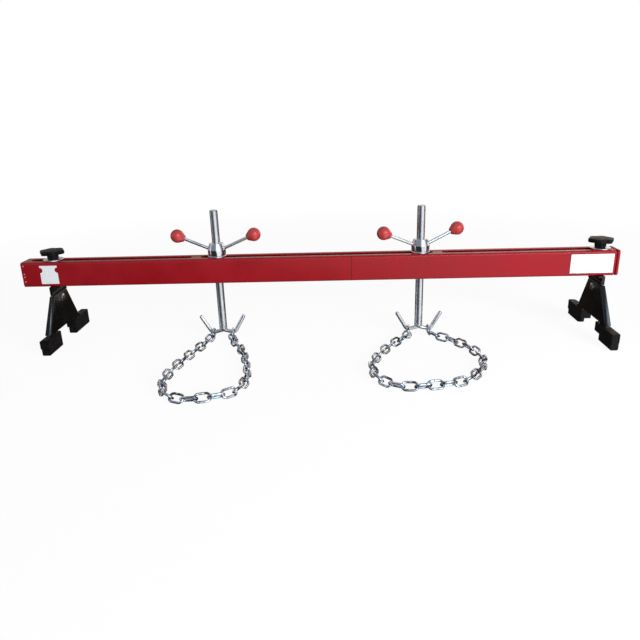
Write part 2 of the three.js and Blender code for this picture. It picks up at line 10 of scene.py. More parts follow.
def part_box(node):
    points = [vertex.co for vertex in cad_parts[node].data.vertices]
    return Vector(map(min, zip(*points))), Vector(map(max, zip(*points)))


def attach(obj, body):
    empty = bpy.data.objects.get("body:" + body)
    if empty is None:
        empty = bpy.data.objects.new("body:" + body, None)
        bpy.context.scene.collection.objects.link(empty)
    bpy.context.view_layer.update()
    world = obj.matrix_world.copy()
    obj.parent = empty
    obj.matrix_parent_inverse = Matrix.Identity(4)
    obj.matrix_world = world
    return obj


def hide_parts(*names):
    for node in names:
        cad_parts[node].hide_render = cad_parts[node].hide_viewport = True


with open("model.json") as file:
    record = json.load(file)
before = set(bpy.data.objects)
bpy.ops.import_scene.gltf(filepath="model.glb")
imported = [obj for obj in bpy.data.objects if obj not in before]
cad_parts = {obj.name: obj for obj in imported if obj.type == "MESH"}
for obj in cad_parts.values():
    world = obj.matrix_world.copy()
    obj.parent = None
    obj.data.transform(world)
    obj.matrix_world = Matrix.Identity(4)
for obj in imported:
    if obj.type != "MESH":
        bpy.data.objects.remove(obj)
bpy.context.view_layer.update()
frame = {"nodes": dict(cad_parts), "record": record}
nodes = frame["nodes"]
bodies = frame["record"]["behaviour"]["bodies"]
bodyOf = {node: body for body, members in bodies.items() for node in members}
mm = 0.001  # the sizes of the pieces are in millimetres
mergeReach = 2e-6  # points closer than this, in metres, become one


def boxOf(node):
    low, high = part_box(node)
    return [value / mm for value in low], [value / mm for value in high]


def axisOf(node):
    low, high = boxOf(node)
    return (low[0] + high[0]) / 2, (low[1] + high[1]) / 2


beamLow, beamHigh = boxOf("beam_tube_left")
beamY = (beamLow[1] + beamHigh[1]) / 2
print("frame loaded:", len(nodes), "nodes, beam line at y", round(beamY, 2))


# A node's output, with sums that add maths nodes to its tree
class Wire:
    def __init__(self, maker, socket):
        self.maker, self.socket = maker, socket

    def __add__(self, other):
        return self.maker.maths("ADD", self, other)

    def __sub__(self, other):
        return self.maker.maths("SUBTRACT", self, other)

    def __rsub__(self, other):
        return self.maker.maths("SUBTRACT", other, self)

    def __mul__(self, other):
        return self.maker.maths("MULTIPLY", self, other)

    def __truediv__(self, other):
        return self.maker.maths("DIVIDE", self, other)

    __radd__ = __add__


class Maker:
    def __init__(self, tree):
        self.tree = tree

    def node(self, kind, settings=None, sockets=None, output=0):
        made = self.tree.nodes.new(kind)
        for name, value in (settings or {}).items():
            setattr(made, name, value)
        for name, value in (sockets or {}).items():
            if isinstance(value, Wire):
                self.tree.links.new(value.socket, made.inputs[name])
            else:
                made.inputs[name].default_value = value
        return Wire(self, made.outputs[output])

    def maths(self, operation, first, second=0.0):
        return self.node("ShaderNodeMath", {"operation": operation}, {0: first, 1: second})

    def mix(self, share, first, second):
        return self.node("ShaderNodeMix", {"data_type": "RGBA"}, {0: share, 6: first, 7: second}, 2)

    def spread(self, value, low, high, start=0.0, end=1.0):
        sockets = {"Value": value, "From Min": low, "From Max": high, "To Min": start, "To Max": end}
        return self.node("ShaderNodeMapRange", {"interpolation_type": "SMOOTHSTEP"}, sockets)

    def noise(self, place, scale, detail=3.0, roughness=0.55):
        return self.node("ShaderNodeTexNoise", {}, {
            "Vector": place, "Scale": scale, "Detail": detail, "Roughness": roughness})

    def split(self, vector):
        return [self.node("ShaderNodeSeparateXYZ", {}, {0: vector}, axis) for axis in range(3)]

    def away(self, place, point):
        return self.node("ShaderNodeVectorMath", {"operation": "DISTANCE"}, {0: place, 1: point}, 1)


class Finish(Maker):
    def __init__(self, name, levels):
        self.material = bpy.data.materials.new(name)
        self.material.use_nodes = True
        super().__init__(self.material.node_tree)
        self.shader = self.tree.nodes["Principled BSDF"]
        for socket, value in levels.items():
            self.shader.inputs[socket].default_value = value
        self.place = self.node("ShaderNodeTexCoord", output=3)

    def feed(self, socket, wire):
        self.tree.links.new(wire.socket, self.shader.inputs[socket])

    # Colour, roughness from low to high over most of a noise's values, and relief
    def done(self, colour, pattern, rough, height, depth, extra=0.0):
        bump = self.node("ShaderNodeBump", {}, {"Height": height, "Distance": depth, "Strength": 1.0})
        self.feed("Base Color", colour)
        self.feed("Roughness", self.spread(pattern, 0.3, 0.7, *rough) + extra)
        self.feed("Normal", bump)
        return self.material


# In all finishes, scales are per metre and depths in metres
def redEnamel():
    look = {
        "deep": (0.28, 0.0035, 0.0085, 1), "fresh": (0.325, 0.0045, 0.0115, 1), "mixing": (0.35, 0.65),
        "cloudScale": 9.0, "fleckScale": 160.0, "fleckShare": 0.2, "rough": (0.26, 0.38),
        "seam": (0.07, 0.003, 0.005, 1), "seamX": beamHigh[0], "seamReach": (0.0005, 0.0017),
        "seamShare": 0.75, "seamDip": 3.0, "peelScale": 620, "peelDepth": 0.00003,
        "chip": (0.85, 0.27, 0.29, 1), "chipHeights": (210.5, 189.7, 182.0, 169.5), "chipIn": 1.5,
        "chipReach": 2.8, "chipFade": (0.6, 1.4), "raggedScale": 900.0, "raggedReach": 0.0022,
    }
    paint = Finish("redEnamel", {"IOR": 1.5, "Specular IOR Level": 0.4})
    cloud = paint.noise(paint.place, look["cloudScale"], 4.0)
    fleck = paint.noise(paint.place, look["fleckScale"], 2.0)
    blend = cloud * (1 - look["fleckShare"]) + fleck * look["fleckShare"]
    colour = paint.mix(paint.spread(blend, *look["mixing"]), look["deep"], look["fresh"])
    fromSeam = paint.maths("ABSOLUTE", paint.split(paint.place)[0] - look["seamX"] * mm)
    seam = 1 - paint.spread(fromSeam, *look["seamReach"])
    colour = paint.mix(seam * look["seamShare"], colour, look["seam"])
    ragged = paint.noise(paint.place, look["raggedScale"], 2.0) * look["raggedReach"]
    near, far = (look["chipReach"] * share * mm for share in look["chipFade"])
    chips = 0.0
    for height in look["chipHeights"]:
        point = ((beamLow[0] + look["chipIn"]) * mm, beamLow[1] * mm, height * mm)
        chips = 1 - paint.spread(paint.away(paint.place, point) + ragged, near, far) + chips
    colour = paint.mix(chips, colour, look["chip"])
    peel = paint.noise(paint.place, look["peelScale"], 1.0) - seam * look["seamDip"]
    return paint.done(colour, cloud, look["rough"], peel, look["peelDepth"])


# A finish that is cloudy in colour and roughness, with a fine relief
def cloudy(name, look):
    made = Finish(name, {"IOR": look["ior"], "Specular IOR Level": look["shine"]})
    cloud = made.noise(made.place, *look["cloud"])
    colour = made.mix(made.spread(cloud, *look["mixing"]), look["base"], look["worn"])
    return made.done(colour, cloud, look["rough"], made.noise(made.place, *look["grain"]), look["depth"])


# Plated metal, with streaks drawn out by the three scales of its grain
def zincPlate(name, grain, dark=(0.62, 0.65, 0.70, 1), light=(0.86, 0.88, 0.91, 1), rough=(0.14, 0.26)):
    look = {"streakScale": 40, "cloudScale": 30, "streakShare": 0.6, "mixing": (0.38, 0.6), "depth": 15e-6}
    metal = Finish(name, {"Metallic": 1.0})
    drawn = metal.node("ShaderNodeMapping", {}, {"Vector": metal.place, "Scale": grain})
    streaks = metal.noise(drawn, look["streakScale"], 3.0, 0.5)
    cloud = metal.noise(metal.place, look["cloudScale"])
    blend = streaks * look["streakShare"] + cloud * (1 - look["streakShare"])
    colour = metal.mix(metal.spread(blend, *look["mixing"]), dark, light)
    return metal.done(colour, streaks, rough, streaks, look["depth"])


# Plated chain, cloudy bright and dull, with dark noise patches that are painted shade: they stand in for
# dark reflections and the shade between the links
def chainZinc():
    look = {
        "bright": (0.9, 0.95, 1.0, 1), "dull": (0.38, 0.44, 0.52, 1), "mixing": (0.42, 0.6),
        "paintedShade": (0.03, 0.026, 0.026, 1), "paintedShadeScale": 95.0, "paintedShadeEdge": (0.54, 0.62), "paintedShadeShare": 0.85,
        "cloudScale": 60.0, "rough": (0.08, 0.18), "paintedShadeRough": 0.15, "depth": 0.00006,
    }
    metal = Finish("chainZinc", {"Metallic": 1.0})
    cloud = metal.noise(metal.place, look["cloudScale"])
    # painted shade: dark patches in place of dark reflections and the gaps between links
    paintedShade = metal.spread(metal.noise(metal.place, look["paintedShadeScale"], 2.0), *look["paintedShadeEdge"])
    colour = metal.mix(metal.spread(cloud, *look["mixing"]), look["dull"], look["bright"])
    colour = metal.mix(paintedShade * look["paintedShadeShare"], colour, look["paintedShade"])
    return metal.done(colour, cloud, look["rough"], cloud, look["depth"], paintedShade * look["paintedShadeRough"])


moulded = {"ior": 1.47, "cloud": (70.0, 4.0), "mixing": (0.42, 0.7)}
cloudyLooks = {
    "blackEnamel": {
        "ior": 1.5, "shine": 0.5, "cloud": (28.0, 5.0, 0.6), "mixing": (0.45, 0.72), "rough": (0.18, 0.3),
        "base": (0.0022, 0.0023, 0.0026, 1), "worn": (0.0055, 0.0056, 0.006, 1),
        "grain": (480.0, 2.0), "depth": 0.00004},
    "blackPlastic": moulded | {
        "shine": 0.22, "base": (0.003, 0.003, 0.004, 1), "worn": (0.007, 0.007, 0.009, 1),
        "rough": (0.42, 0.55), "grain": (1500.0, 3.0, 0.7), "depth": 0.00003},
    "blackRubber": moulded | {
        "shine": 0.25, "base": (0.002, 0.002, 0.0025, 1), "worn": (0.005, 0.005, 0.0055, 1),
        "rough": (0.5, 0.65), "grain": (1100.0, 3.0, 0.7), "depth": 0.00008},
    "coralPlastic": moulded | {
        "shine": 0.75, "base": (0.54, 0.05, 0.05, 1), "worn": (0.46, 0.036, 0.04, 1),
        "rough": (0.2, 0.3), "grain": (420.0, 3.0, 0.7), "depth": 0.00002},
    "whiteFilm": {
        "ior": 1.46, "shine": 0.5, "cloud": (40.0, 4.0), "mixing": (0.48, 0.75, 0.0, 0.8),
        "base": (0.88, 0.90, 0.94, 1), "worn": (0.80, 0.83, 0.89, 1), "rough": (0.3, 0.45),
        "grain": (90.0, 2.0), "depth": 0.00008},
}
finishes = {
    "redEnamel": redEnamel(),
    "rodZinc": zincPlate("rodZinc", (1, 1, 0.05), rough=(0.3, 0.38)),
    "hubZinc": zincPlate("hubZinc", (1, 1, 0.2), rough=(0.07, 0.13)),
    "plateZinc": zincPlate("plateZinc", (1, 1, 1), light=(0.9, 0.91, 0.93, 1), rough=(0.24, 0.38)),
    "chainZinc": chainZinc(),
    "brass": zincPlate("brass", (1, 1, 0.2), (0.36, 0.2, 0.05, 1), (0.5, 0.3, 0.09, 1), (0.25, 0.4)),
}
for name, look in cloudyLooks.items():
    finishes[name] = cloudy(name, look)
print("finishes:", ", ".join(finishes))


def linked(name, data):
    made = bpy.data.objects.new(name, data)
    bpy.context.scene.collection.objects.link(made)
    return made


# What a helper object's modifiers make of it, after which the helper goes
def applied(source, name):
    graph = bpy.context.evaluated_depsgraph_get()
    result = bpy.data.meshes.new_from_object(source.evaluated_get(graph))
    bpy.data.objects.remove(source)
    result.name = name
    return result


def meshOf(build, name):
    mesh = bpy.data.meshes.new(name)
    build.to_mesh(mesh)
    build.free()
    return mesh


def addObject(name, mesh, finish, stands, sharp=32):
    mesh.materials.clear()
    mesh.materials.append(finishes[finish])
    if sharp:
        mesh.shade_smooth()
        mesh.set_sharp_from_angle(angle=radians(sharp))
    piece = linked(name, mesh)
    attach(piece, bodyOf[stands[0]])
    return piece


# A piece from lofted parts, each a pair of points and faces in millimetres
def addPiece(name, parts, finish, *stands, sharp=32):
    build = bmesh.new()
    for points, faces in parts:
        made = [build.verts.new(Vector(point) * mm) for point in points]
        for face in faces:
            build.faces.new([made[index] for index in face])
    bmesh.ops.remove_doubles(build, verts=build.verts, dist=mergeReach)
    bmesh.ops.recalc_face_normals(build, faces=build.faces)
    piece = addObject(name, meshOf(build, name), finish, stands, sharp)
    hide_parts(*stands)


# Rings of points joined by quads: ends are "capped", "open" or "joined" end to end
def loft(rings, ends="capped", closedRing=True):
    count = len(rings[0])
    points = [point for ring in rings for point in ring]
    faces = []
    for i in range(len(rings) if ends == "joined" else len(rings) - 1):
        here, there = i * count, (i + 1) % len(rings) * count
        for j in range(count if closedRing else count - 1):
            k = (j + 1) % count
            faces.append((here + j, here + k, there + k, there + j))
    if ends == "capped":
        faces.append(tuple(range(count)))
        faces.append(tuple(range(len(points) - count, len(points))))
    return points, faces


# Corners (a, b) or (a, b, radius): those with a radius become arcs
def eased(corners, steps=4, closedLine=False):
    line = []
    for i, corner in enumerate(corners):
        here = Vector(corner[:2])
        if len(corner) < 3 or (not closedLine and i in (0, len(corners) - 1)):
            line.append(tuple(here))
            continue
        radius = corner[2]
        before = (Vector(corners[i - 1][:2]) - here).normalized()
        after = (Vector(corners[(i + 1) % len(corners)][:2]) - here).normalized()
        half = before.angle(after) / 2
        run = radius / tan(half)
        centre = here + (before + after).normalized() * radius / sin(half)
        start, end = here + before * run - centre, here + after * run - centre
        first = atan2(start.y, start.x)
        turn = (atan2(end.y, end.x) - first + pi) % tau - pi
        for step in range(steps + 1):
            angle = first + turn * step / steps
            line.append((centre.x + radius * cos(angle), centre.y + radius * sin(angle)))
    return line


# Profile of (radius, height) turned about an upright axis; reach may change each radius
def lathe(profile, centre=(0, 0), count=48, ends="capped", reach=None):
    rings = []
    for radius, z in profile:
        ring = []
        for j in range(count):
            angle = tau * j / count
            r = reach(radius, z, angle) if reach else radius
            ring.append((centre[0] + r * cos(angle), centre[1] + r * sin(angle), z))
        rings.append(ring)
    return loft(rings, ends)


def moved(part, matrix):
    return [tuple(matrix @ Vector(point)) for point in part[0]], part[1]


# Round bar along a path, with a radius for each of its points
def swept(path, radii, count):
    rings, across = [], None
    for i, point in enumerate(path):
        along = (path[min(i + 1, len(path) - 1)] - path[max(i - 1, 0)]).normalized()
        if across is None:
            across = along.orthogonal()
        across = (across - along * across.dot(along)).normalized()
        other = along.cross(across)
        ring = []
        for j in range(count):
            angle = tau * j / count
            ring.append(point + (across * cos(angle) + other * sin(angle)) * radii[i])
        rings.append(ring)
    return loft(rings)


# The same bar, of one radius, with its two ends rounded off over a length
def roundEnded(path, radius, ease, steps=4, count=24):
    path = [Vector(point) for point in path]
    first, last = (path[1] - path[0]).normalized(), (path[-2] - path[-1]).normalized()
    angles = [pi / 2 * step / steps for step in range(steps + 1)]
    shares = [(1 - cos(angle), sin(angle)) for angle in angles]
    head = [path[0] + first * ease * share for share, _ in shares]
    tail = [path[-1] + last * ease * share for share, _ in reversed(shares)]
    ends = [radius - ease + ease * size for _, size in shares]
    middle = path[1:-1]
    return swept(head + middle + tail, ends + [radius] * len(middle) + ends[::-1], count)


# A CAD node's own shape, merged, with its edges rounded
def softened(name, node, finish, width, segments=2):
    flat, bevelled, weight = radians(0.6), radians(28), 90
    build = bmesh.new()
    build.from_mesh(nodes[node].data)
    bmesh.ops.remove_doubles(build, verts=build.verts, dist=mergeReach)
    bmesh.ops.dissolve_limit(build, angle_limit=flat, verts=build.verts, edges=build.edges)
    mesh = meshOf(build, name)
    mesh.shade_smooth()
    source = linked(name + "Source", mesh)
    bevel = source.modifiers.new("edges", "BEVEL")
    bevel.width, bevel.segments = width * mm, segments
    bevel.limit_method, bevel.angle_limit = "ANGLE", bevelled
    source.modifiers.new("normals", "WEIGHTED_NORMAL").weight = weight
    piece = addObject(name, applied(source, name), finish, [node], sharp=0)
    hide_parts(node)


# A Geometry Nodes group with inputs by kind, whose last step gives the shape its finish
class Shaper(Maker):
    def __init__(self, name, **inputs):
        super().__init__(bpy.data.node_groups.new(name, "GeometryNodeTree"))
        for kind, labels in ({"Geometry": ("Geometry",), "Material": ("Finish",)} | inputs).items():
            for label in labels:
                self.tree.interface.new_socket(label, in_out="INPUT", socket_type="NodeSocket" + kind)
        self.tree.interface.new_socket("Geometry", in_out="OUTPUT", socket_type="NodeSocketGeometry")
        self.inlet = self.tree.nodes.new("NodeGroupInput")
        self.outlet = self.tree.nodes.new("NodeGroupOutput")

    def given(self, label):
        return Wire(self, self.inlet.outputs[label])

    def form(self, kind, sockets=None):
        return self.node("GeometryNode" + kind, {}, sockets)

    def done(self, shape):
        whole = self.form("RealizeInstances", {0: shape})
        dressed = self.form("SetMaterial", {"Geometry": whole, "Material": self.given("Finish")})
        self.tree.links.new(dressed.socket, self.outlet.inputs[0])


def shaped(name, shaper, values, mesh=None):
    source = linked(name + "Source", mesh or bpy.data.meshes.new(name + "Source"))
    modifier = source.modifiers.new("shape", "NODES")
    modifier.node_group = shaper.tree
    for item in shaper.tree.interface.items_tree:
        if item.in_out == "INPUT" and item.name in values:
            modifier[item.identifier] = values[item.name]
    return applied(source, name)


# A bar's raised thread: a trapezoid wound up a spiral, its root sunk in the core
def threadShaper():
    crest, sunk = 0.4, 0.4  # the crest's share of the pitch and the root's share of the depth
    lengths = ("Radius", "Depth", "Pitch", "Bottom", "Length")
    shaper = Shaper("threadOnBar", Float=lengths, Int=("Side count",))
    radius, depth, pitch, bottom, length = (shaper.given(label) for label in lengths)
    height = depth + depth * sunk
    middle = radius - height * 0.5
    spiral = shaper.form("CurveSpiral", {
        "Resolution": shaper.given("Side count"), "Rotations": length / pitch, "Start Radius": middle,
        "End Radius": middle, "Height": length})
    upright = shaper.node("GeometryNodeSetCurveNormal", {"mode": "Z_UP"}, {"Curve": spiral})
    ridge = shaper.node("GeometryNodeCurvePrimitiveQuadrilateral", {"mode": "TRAPEZOID"}, {
        "Bottom Width": pitch, "Top Width": pitch * crest, "Offset": 0.0, "Height": height})
    turned = shaper.form("Transform", {"Geometry": ridge, "Rotation": (0, 0, -pi / 2)})
    wound = shaper.form("CurveToMesh", {"Curve": upright, "Profile Curve": turned, "Fill Caps": True})
    foot = shaper.node("ShaderNodeCombineXYZ", {}, {2: bottom})
    shaper.done(shaper.form("Transform", {"Geometry": wound, "Translation": foot}))
    return shaper


def addThread(name, node, centre, sizes, bottom, length, shaper):
    mesh = shaped(name, shaper, {
        "Radius": sizes["radius"] * mm, "Depth": sizes["depth"] * mm, "Pitch": sizes["pitch"] * mm,
        "Bottom": bottom * mm, "Length": length * mm, "Side count": sizes["turnSteps"],
        "Finish": finishes["rodZinc"]})
    mesh.transform(Matrix.Translation((centre[0] * mm, centre[1] * mm, 0)))
    addObject(name, mesh, "rodZinc", [node])


# Links set at points and turned by their angles, with a slight swell at each weld
def chainShaper():
    bendSteps, weldReach = 32, (0.0006, 0.0032)
    lengths = ("Inner length", "Width", "Wire", "Weld")
    shaper = Shaper("chainOfLinks", Float=lengths, Int=("Ring count", "Wire sides"))
    inner, width, wire, weld = (shaper.given(label) for label in lengths)
    bend = (width - wire) * 0.5
    straight = (inner + wire) * 0.5 - bend
    circle = shaper.form("CurvePrimitiveCircle", {"Resolution": bendSteps, "Radius": bend})
    signX = shaper.maths("SIGN", shaper.split(shaper.form("InputPosition"))[0])
    shift = shaper.node("ShaderNodeCombineXYZ", {}, {0: signX * straight})
    stadium = shaper.form("SetPosition", {"Geometry": circle, "Offset": shift})
    line = shaper.form("ResampleCurve", {"Curve": stadium, "Count": shaper.given("Ring count")})
    x, y, _ = shaper.split(shaper.form("InputPosition"))
    nearWeld = 1 - shaper.spread(shaper.maths("ABSOLUTE", x), *weldReach)
    swell = 1 + nearWeld * shaper.maths("GREATER_THAN", y) * weld
    section = shaper.form("CurvePrimitiveCircle", {
        "Resolution": shaper.given("Wire sides"), "Radius": wire * 0.5})
    link = shaper.form("CurveToMesh", {"Curve": line, "Profile Curve": section, "Scale": swell})
    kind, label = {"data_type": "FLOAT_VECTOR"}, {"Name": "linkTurn"}
    angles = shaper.node("GeometryNodeInputNamedAttribute", kind, label)
    turn = shaper.node("FunctionNodeEulerToRotation", {}, {0: angles})
    shaper.done(shaper.form("InstanceOnPoints", {
        "Points": shaper.given("Geometry"), "Instance": link, "Rotation": turn}))
    return shaper


# Upright round ribs in a ring round an axis
def ribShaper():
    ribSides, lengths = 16, ("Ring radius", "Rib radius", "Height")
    shaper = Shaper("ringOfRibs", Float=lengths, Int=("Count",), Vector=("Centre",))
    ringRadius, ribRadius, height = (shaper.given(label) for label in lengths)
    ring = shaper.form("MeshCircle", {"Vertices": shaper.given("Count"), "Radius": ringRadius})
    rib = shaper.form("MeshCylinder", {"Vertices": ribSides, "Radius": ribRadius, "Depth": height})
    spaced = shaper.form("InstanceOnPoints", {"Points": ring, "Instance": rib})
    shaper.done(shaper.form("Transform", {"Geometry": spaced, "Translation": shaper.given("Centre")}))
    return shaper


tube = {
    "wall": 3, "corner": 6, "cornerSteps": 8, "slotRadius": 11, "slotSteps": 14, "edge": 0.6,
    "slots": [(-732, -317), (-295, 295), (317, 732)], "sharp": 40,
}


# The beam's rounded section at x, smaller all round by an inset
def station(x, inset):
    corner, steps = tube["corner"], tube["cornerSteps"]
    (y0, z0), (y1, z1) = beamLow[1:], beamHigh[1:]
    left, right, low, high = y0 + corner, y1 - corner, z0 + corner, z1 - corner
    ring = []
    for quarter, (y, z) in enumerate([(right, high), (left, high), (left, low), (right, low)]):
        for step in range(steps + 1):
            angle = (quarter + step / steps) * pi / 2
            ring.append((x, y + (corner - inset) * cos(angle), z + (corner - inset) * sin(angle)))
    return ring


# Quarter-round from an end face onto the sides: pairs of distance from the end and inset
def quarterRound(edge, steps=3):
    angles = [pi / 2 * step / steps for step in range(steps + 1)]
    return [(edge * (1 - cos(angle)), edge * (1 - sin(angle))) for angle in angles]


# Outline of a slot along the beam, wider all round by an offset
def slotRing(slot, offset, z):
    radius, steps = tube["slotRadius"], tube["slotSteps"]
    wide = radius + offset
    ring = []
    for end, first in ((slot[1] - radius, -0.5), (slot[0] + radius, 0.5)):
        for step in range(steps + 1):
            angle = (first + step / steps) * pi
            ring.append((end + wide * cos(angle), beamY + wide * sin(angle), z))
    return ring


def buildBeam():
    plate = {"edge": 0.9, "thickness": 6, "plugInset": 3.3}
    corner, wall, edge = tube["corner"], tube["wall"], tube["edge"]
    x0, x1 = beamLow[0], boxOf("beam_tube_right")[1][0]
    flat = tube["cornerSteps"] + 1
    parts = []
    for inset in (0, wall):  # front and back sides, outside and inside
        near = x1 - edge if inset == 0 else x1
        ends = [station(x, inset) for x in (x0, near)]
        for strip in (slice(flat, 3 * flat), slice(3 * flat, None)):
            rows = [ring[strip] + (ring[:flat] if strip.stop is None else []) for ring in ends]
            parts.append(loft(rows, "open", False))
    easing = [station(x1 - away, inset) for away, inset in quarterRound(edge)]
    parts.append(loft([station(x1, wall)] + easing, "open"))
    parts.append(loft([station(x0, wall), station(x0, 0)], "open"))

    y0, y1 = beamLow[1] + corner, beamHigh[1] - corner
    for z, inward in ((beamHigh[2], -1), (beamLow[2], 1)):  # top and bottom, with their slots
        for level, near in ((z, x1 - edge), (z + inward * wall, x1)):
            outline = [(x0, y0, level), (near, y0, level), (near, y1, level), (x0, y1, level)]
            holes = [slotRing(slot, edge, level) for slot in tube["slots"]]
            lines = [[Vector(point) for point in line] for line in [outline] + holes]
            parts.append(([point for line in lines for point in line], tessellate_polygon(lines)))
        for slot in tube["slots"]:
            easing = quarterRound(edge)
            outer = [slotRing(slot, inset, z + inward * away) for away, inset in easing]
            inner = [slotRing(slot, inset, z + inward * (wall - away)) for away, inset in easing]
            parts.append(loft(outer + inner[::-1], "open"))
    addPiece("beamTube", parts, "redEnamel", "beam_tube_left", "beam_tube_right", sharp=tube["sharp"])

    easing = quarterRound(plate["edge"])
    left, right = boxOf("end_plate_left")[0][0], boxOf("end_plate_right")[1][0]
    rings = [station(left + away, inset) for away, inset in easing]
    rings.append(station(x0, 0))
    addPiece("leftEndPlate", [loft(rings)], "redEnamel", "end_plate_left", sharp=tube["sharp"])
    plug, face = boxOf("end_plate_right")[0][0], right - plate["thickness"]
    rings = [station(x, plate["plugInset"]) for x in (plug, face)]
    rings += [station(face + away, inset) for away, inset in easing]
    rings += [station(right - away, inset) for away, inset in easing[::-1]]
    addPiece("rightEndPlate", [loft(rings)], "redEnamel", "end_plate_right", sharp=tube["sharp"])
    for label in ("rating_sticker", "info_sticker"):
        nodes[label].material_slots[0].material = finishes["whiteFilm"]
    print("beam built")


# Hexagon head or nut along z: a round limit cuts its corners where an end is chamfered
def hexPart(radius, low, high, chamferLow, chamferHigh, bore=0.0, count=48):
    steps, boreEdge, startShare, slope, sixth = 5, 0.5, 0.97, radians(30), pi / 3
    corner, start = radius / cos(sixth / 2), radius * startShare
    drop = (corner - start) * tan(slope)
    chamfer = [(start + (corner - start) * step / steps, drop * step / steps) for step in range(steps + 1)]
    plain = [(corner, 0)]

    def reach(limit, z, angle):
        flat = radius / cos((angle + sixth / 2) % sixth - sixth / 2)
        return min(flat, limit) if limit > bore else limit
    levels = [(limit, low + away) for limit, away in (chamfer if chamferLow else plain)]
    levels += [(limit, high - away) for limit, away in reversed(chamfer if chamferHigh else plain)]
    if not bore:
        return lathe([(0.0, low)] + levels + [(0.0, high)], count=count, reach=reach)
    levels = [(bore, low + boreEdge), (bore + boreEdge, low)] + levels
    levels += [(bore + boreEdge, high), (bore, high - boreEdge)]
    return lathe(levels, count=count, ends="joined", reach=reach)


# Pressed plate with a flange along each sloping edge: outlines stacked from its foot to its top
def buildBracket(side):
    sheet = {
        "thickness": 4, "bend": 8, "edge": 0.8, "footHalf": 90, "topHalf": 36, "foot": 44, "flangeTop": 134,
        "topReach": 10, "footReach": 16, "flangeStep": 1, "plainBend": 0.7, "leastBend": 0.3,
        "plainRound": 0.1, "plainIn": 2,
    }
    tongue = {"start": 62, "bottom": 24.3, "short": 0.4, "thinner": 0.15, "overlap": 2}
    low, high = boxOf(f"{side}_foot_bracket")
    top, thick, edge, foot = high[2], sheet["thickness"], sheet["edge"], sheet["foot"]
    face, outward = (high[0], -1) if side == "left" else (low[0], 1)
    slope = (sheet["footHalf"] - sheet["topHalf"]) / (top - foot)
    strip = thick * hypot(1, slope)

    def outlineAt(z, reach, bend, inset=0.0):
        half, back, end = sheet["topHalf"] + (top - z) * slope - inset, thick - inset, reach - inset
        inner, tip = max(bend - thick, sheet["leastBend"]), edge * 0.9 - inset * 0.5
        within = half - strip + inset * 2
        corners = [(end, half, tip), (end, within, tip), (back, within, inner)]
        if reach < thick + 1:
            ends = (half - sheet["plainIn"], half - strip)
            corners = [(back, half, tip)] + [(back, y, sheet["plainRound"]) for y in ends]
        line = [(inset, half, bend)] + corners
        line += [(x, -y, radius) for x, y, radius in reversed(line)]
        return [(face + outward * x, beamY + y, z) for x, y in eased(line, 6, True)]

    easing, bend, plain = quarterRound(edge), sheet["bend"], sheet["plainBend"]
    flangeTop = sheet["flangeTop"] - sheet["flangeStep"]
    rings = [outlineAt(foot + away, sheet["footReach"], bend, inset) for away, inset in easing]
    rings += [outlineAt(flangeTop - away, sheet["topReach"], bend, inset) for away, inset in easing[::-1]]
    rings += [outlineAt(z, thick, plain) for z in (sheet["flangeTop"], top - edge)]
    rings += [outlineAt(top - away, thick, plain, inset) for away, inset in easing[-2::-1]]
    parts = [loft(rings)]
    for way in (1, -1):
        a, b = beamY + way * tongue["start"], beamY + way * (sheet["footHalf"] - tongue["short"])
        x0, x1 = face + outward * tongue["thinner"], face + outward * (thick - tongue["thinner"])
        section = [(x0, a), (x1, a), (x1, b), (x0, b)]
        heights = (tongue["bottom"], foot + tongue["overlap"])
        parts.append(loft([[(x, y, z) for x, y in section] for z in heights]))
    addPiece(f"{side}FootBracket", parts, "blackEnamel", f"{side}_foot_bracket")


def buildFoot(side):
    bolt = {
        "height": 120, "across": 17, "headHeight": 6.4, "radius": 5, "chamfer": 0.8, "shankSteps": 32,
        "seatRadius": 7.9, "seatHeight": 0.8, "seatRound": 0.2, "headStart": 0.6,
    }
    nut = {"height": 8, "play": 0.3}
    hanger, pad = {"edge": 0.8}, {"edge": 1.8, "edgeSteps": 4}
    (x0, *_), (x1, *_) = boxOf(f"{side}_pivot_bolt")
    inward = 1 if side == "left" else -1
    headX, tailX = (x1, x0) if side == "left" else (x0, x1)
    base = headX - inward * bolt["headHeight"]
    at = Matrix.Translation((base, beamY, bolt["height"])) @ Matrix.Rotation(inward * pi / 2, 4, "Y")
    head = hexPart(bolt["across"] / 2, bolt["headStart"], bolt["headHeight"], False, True)
    wide, tall = bolt["seatRadius"], bolt["seatHeight"]
    seat = lathe(eased([(0, 0), (wide, 0, bolt["seatRound"]), (wide, tall), (0, tall)]))
    reach, radius, chamfer = abs(tailX - base), bolt["radius"], bolt["chamfer"]
    profile = [(0, -reach), (radius - chamfer, -reach), (radius, chamfer - reach), (radius, 0), (0, 0)]
    shank = lathe(eased(profile), count=bolt["shankSteps"])
    parts = [moved(part, at) for part in (head, seat, shank)]
    addPiece(f"{side}PivotBolt", parts, "plateZinc", f"{side}_pivot_bolt")
    nutLow, nutHigh = boxOf(f"{side}_pivot_nut")
    nutBase = nutHigh[0] if side == "left" else nutLow[0]
    at = Matrix.Translation((nutBase, beamY, bolt["height"])) @ Matrix.Rotation(-inward * pi / 2, 4, "Y")
    shape = hexPart(bolt["across"] / 2, 0, nut["height"], True, True, bolt["radius"] + nut["play"])
    addPiece(f"{side}PivotNut", [moved(shape, at)], "plateZinc", f"{side}_pivot_nut")

    buildBracket(side)
    softened(f"{side}FootHanger", f"{side}_foot_hanger", "blackEnamel", hanger["edge"])
    for end in ("far", "near"):
        node = f"{side}_{end}_rubber_pad"
        softened(f"{side}{end.title()}Pad", node, "blackRubber", pad["edge"], pad["edgeSteps"])
    print(side, "foot built")


# Closed profile whose corners are rounded, each by its own edge
def rounded(corners, edges, steps=4):
    return eased([(*corner, edge) for corner, edge in zip(corners, edges)], steps, True)


